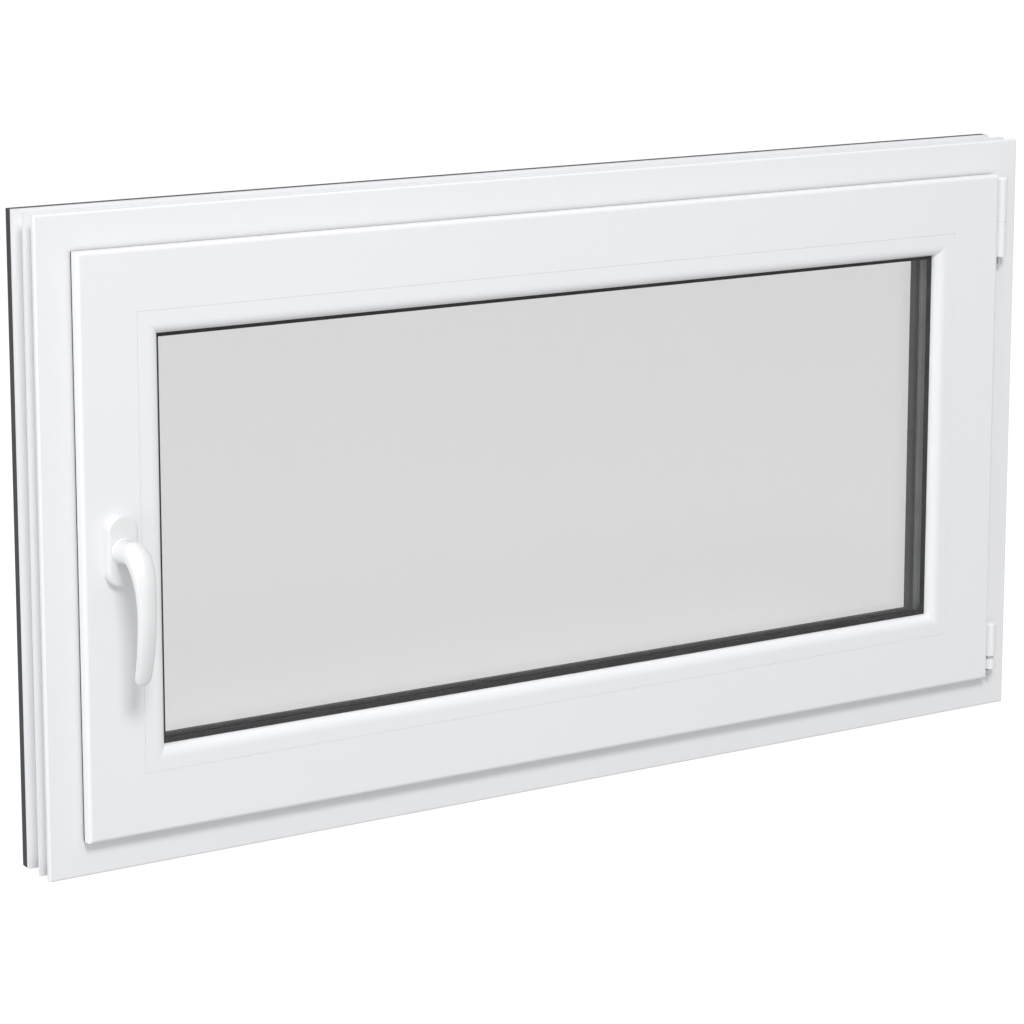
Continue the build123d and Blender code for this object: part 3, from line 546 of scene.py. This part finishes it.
def grow(name, points, edges, tree, values):
    """A plain mesh made by a geometry tree from points and edges."""
    path = bpy.data.meshes.new(name + "_path")
    path.from_pydata(points, edges, [])
    maker = bpy.data.objects.new(name + "_maker", path)
    scene.collection.objects.link(maker)
    modifier = maker.modifiers.new("make", "NODES")
    modifier.node_group = tree
    for item in tree.interface.items_tree:
        if item.item_type == "SOCKET" and item.in_out == "INPUT" and item.name in values:
            modifier[item.identifier] = values[item.name]
    ready = maker.evaluated_get(bpy.context.evaluated_depsgraph_get())
    mesh = bpy.data.meshes.new_from_object(ready)
    mesh.name = name
    bpy.data.objects.remove(maker)
    return mesh


# %% [markdown]
# ### Perforations of the spacer bar
#
# A round punched hole one millimetre across reads as a small dark dot, because shade fills it, so each is
# a thin black disc of painted shade. The dots follow two closed loops, one near each pane. The direction
# that a dot faces is the cross product of the path's tangent and the window's depth axis, so one loop, walked
# once, turns the dots to the middle on all four sides.

# %% The tree of the perforations
dot_sides = 10
dots_tree, dots_in, dots_out = nodes_tree("perforation_rows", [
    ("Step", number), ("Dot Radius", number), ("Dot Height", number), ("Material", "NodeSocketMaterial"),
])
dots_path = add_node(dots_tree, "GeometryNodeMeshToCurve")
dots_steps = add_node(dots_tree, "GeometryNodeCurveToPoints", mode="LENGTH")
dots_facing = add_node(dots_tree, "ShaderNodeVectorMath", operation="CROSS_PRODUCT")
dots_facing.inputs[1].default_value = (0.0, 1.0, 0.0)
dot = add_node(dots_tree, "GeometryNodeMeshCylinder")
dot.inputs["Vertices"].default_value = dot_sides
link(dots_tree, dots_in.outputs["Geometry"], dots_path.inputs["Mesh"])
link(dots_tree, dots_path.outputs["Curve"], dots_steps.inputs["Curve"])
link(dots_tree, dots_in.outputs["Step"], dots_steps.inputs["Length"])
link(dots_tree, dots_steps.outputs["Tangent"], dots_facing.inputs[0])
link(dots_tree, dots_in.outputs["Dot Radius"], dot.inputs["Radius"])
link(dots_tree, dots_in.outputs["Dot Height"], dot.inputs["Depth"])
dots = facing_instances(
    dots_tree, dots_steps.outputs["Points"], dots_facing.outputs["Vector"], dot.outputs["Mesh"]
)
close_tree(dots_tree, dots_in, dots_out, dots)

# %% [markdown]
# The two loops lie on the bar's inner faces, one bar's height inside its outer box.

# %% Perforations
spacer_low, spacer_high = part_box("spacer_bar")
spacer_height = 6.5 * mm
row_inset = 3.2 * mm
left, right = spacer_low.x + spacer_height, spacer_high.x - spacer_height
bottom, top = spacer_low.z + spacer_height, spacer_high.z - spacer_height
loop_points = []
loop_edges = []
for depth in (spacer_low.y + row_inset, spacer_high.y - row_inset):
    first = len(loop_points)
    loop_points += [(left, depth, bottom), (right, depth, bottom), (right, depth, top), (left, depth, top)]
    loop_edges += [(first + i, first + (i + 1) % 4) for i in range(4)]
# The dots take the black sealant's finish as painted shade inside the holes.
dot_values = {"Step": 5.0 * mm, "Dot Radius": 0.5 * mm, "Dot Height": 0.12 * mm, "Material": sealant}
dots_mesh = grow("spacer_perforations", loop_points, loop_edges, dots_tree, dot_values)
show("spacer_perforations", dots_mesh, "sash")

# %% [markdown]
# ### Faceplate screws
#
# A countersunk head sits flush in the plate, so only a disc and its cross recess show. The recess is cut
# once, from the one model that all the screws share, by a Boolean with two crossed bars.

# %% The tree of the screws
head_sides = 24
recess_lift = 0.4 * mm
screw_tree, screw_in, screw_out = nodes_tree("countersunk_screws", [
    ("Head Radius", number), ("Head Height", number), ("Recess", "NodeSocketVector"),
    ("Facing", "NodeSocketVector"), ("Material", "NodeSocketMaterial"),
])
disc = add_node(screw_tree, "GeometryNodeMeshCylinder")
disc.inputs["Vertices"].default_value = head_sides
link(screw_tree, screw_in.outputs["Head Radius"], disc.inputs["Radius"])
link(screw_tree, screw_in.outputs["Head Height"], disc.inputs["Depth"])
bar = add_node(screw_tree, "GeometryNodeMeshCube")
link(screw_tree, screw_in.outputs["Recess"], bar.inputs["Size"])
cut = add_node(screw_tree, "GeometryNodeMeshBoolean", operation="DIFFERENCE", solver="EXACT")
link(screw_tree, disc.outputs["Mesh"], cut.inputs["Mesh 1"])
for quarter in (0.0, math.pi / 2):
    placed = add_node(screw_tree, "GeometryNodeTransform")
    placed.inputs["Translation"].default_value = (0.0, 0.0, recess_lift)
    placed.inputs["Rotation"].default_value = (0.0, 0.0, quarter)
    link(screw_tree, bar.outputs["Mesh"], placed.inputs["Geometry"])
    link(screw_tree, placed.outputs["Geometry"], cut.inputs["Mesh 2"])
screws = facing_instances(
    screw_tree, screw_in.outputs["Geometry"], screw_in.outputs["Facing"], cut.outputs["Mesh"]
)
close_tree(screw_tree, screw_in, screw_out, screws)

# %% [markdown]
# The screws stand between the slots of the locking cams, so their places along each plate are listed one
# by one. Across the plate they are on its middle line, and each plate's screws face away from the sash.

# %% Faceplate screws
screw_values = {
    "Head Radius": 3.4 * mm,
    "Head Height": 0.9 * mm,
    "Recess": (4.2 * mm, 0.9 * mm, 0.8 * mm),
    "Material": zinc,
}
head_sunk = 0.2 * mm
left_low, left_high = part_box("faceplate_left")
plate_middle = (left_low.y + left_high.y) / 2
left_plate = left_low.x + head_sunk
top_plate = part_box("faceplate_top")[1].z - head_sunk
bottom_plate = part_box("faceplate_bottom")[0].z + head_sunk
left_places = [(left_plate, plate_middle, z) for z in (0.09, 0.21, 0.39, 0.51)]
top_places = [(x, plate_middle, top_plate) for x in (-0.40, -0.02, 0.10)]
bottom_places = [(x, plate_middle, bottom_plate) for x in (-0.40, -0.12, 0.12, 0.38)]
for name, places, facing in (
    ("faceplate_left_screws", left_places, (-1.0, 0.0, 0.0)),
    ("faceplate_top_screws", top_places, (0.0, 0.0, 1.0)),
    ("faceplate_bottom_screws", bottom_places, (0.0, 0.0, -1.0)),
):
    screws_mesh = grow(name, places, [], screw_tree, {**screw_values, "Facing": facing})
    show(name, screws_mesh, "sash")

# %% [markdown]
# ### The edge of the sash seal
#
# Between the sash's overlapping lip and the frame a rubber lip shows as a thin dark line. It is a strip
# with one section that follows three sides of the sash; the hinge side has the hinges' brackets in its way.
# A sweep with Geometry Nodes narrows at a corner, so the mitred corners are written as points: each corner
# takes the same four section points, moved inwards along both of its sides.

# %% Seal edge
lip_gap = 3.0 * mm
seal_tuck = 0.02 * mm
seal_clearance = 0.9 * mm
seal_insets = (0.15 * mm, 1.2 * mm)
end_gap = 1.5 * mm
room_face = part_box("frame_left")[0].y
seal_depths = (room_face - lip_gap + seal_tuck, room_face - seal_clearance)
lip_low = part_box("sash_left")[0]
lip_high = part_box("sash_right")[1]
seal_mesh = bmesh.new()
rings = []
for x_side, z_side in ((1, 1), (-1, 1), (-1, -1), (1, -1)):
    ring = []
    for inset, depth in ((0, 0), (1, 0), (1, 1), (0, 1)):
        across = seal_insets[inset]
        x = lip_low.x + across if x_side < 0 else lip_high.x - end_gap
        z = lip_low.z + across if z_side < 0 else lip_high.z - across
        ring.append(seal_mesh.verts.new((x, seal_depths[depth], z)))
    rings.append(ring)
for start, end in zip(rings, rings[1:]):
    for i in range(4):
        seal_mesh.faces.new((start[i], start[(i + 1) % 4], end[(i + 1) % 4], end[i]))
seal_mesh.faces.new(rings[0])
seal_mesh.faces.new(rings[-1])
bmesh.ops.recalc_face_normals(seal_mesh, faces=seal_mesh.faces)
seal_data = bpy.data.meshes.new("sash_seal_edge")
seal_mesh.to_mesh(seal_data)
seal_mesh.free()
seal_data.materials.append(rubber)
show("sash_seal_edge", seal_data, "sash")

# %% [markdown]
# ### The lever's collar
#
# The lever's neck passes through a hole in the rosette. On the real handle the neck widens just in front of
# the rosette, so that the hole's edge doesn't show. This collar is a turned piece, so it is one outline of
# radius and height, spun once round the handle's axis.

# %% Collar
collar_outline = [
    (10.40, 0.10), (12.40, 0.10), (12.20, 0.50), (11.50, 1.20), (11.00, 2.20), (10.65, 3.60), (10.40, 3.60)
]
collar_steps = 64
seam_distance = 0.01 * mm
rosette_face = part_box("rosette_cover")[0].y
spindle_low, spindle_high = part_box("handle_spindle")
handle_axis = (spindle_low + spindle_high) / 2
collar_mesh = bmesh.new()
outline_verts = [
    collar_mesh.verts.new((handle_axis.x + radius * mm, rosette_face - height * mm, handle_axis.z))
    for radius, height in collar_outline
]
outline_edges = [
    collar_mesh.edges.new((outline_verts[i], outline_verts[(i + 1) % len(outline_verts)]))
    for i in range(len(outline_verts))
]
bmesh.ops.spin(
    collar_mesh, geom=outline_verts + outline_edges, cent=handle_axis, axis=(0.0, 1.0, 0.0),
    angle=2 * math.pi, steps=collar_steps,
)
bmesh.ops.remove_doubles(collar_mesh, verts=collar_mesh.verts, dist=seam_distance)
bmesh.ops.recalc_face_normals(collar_mesh, faces=collar_mesh.faces)
for face in collar_mesh.faces:
    face.smooth = True
collar_data = bpy.data.meshes.new("lever_collar")
collar_mesh.to_mesh(collar_data)
collar_mesh.free()
collar_data.materials.append(powder_white)
show("lever_collar", collar_data, "handle")
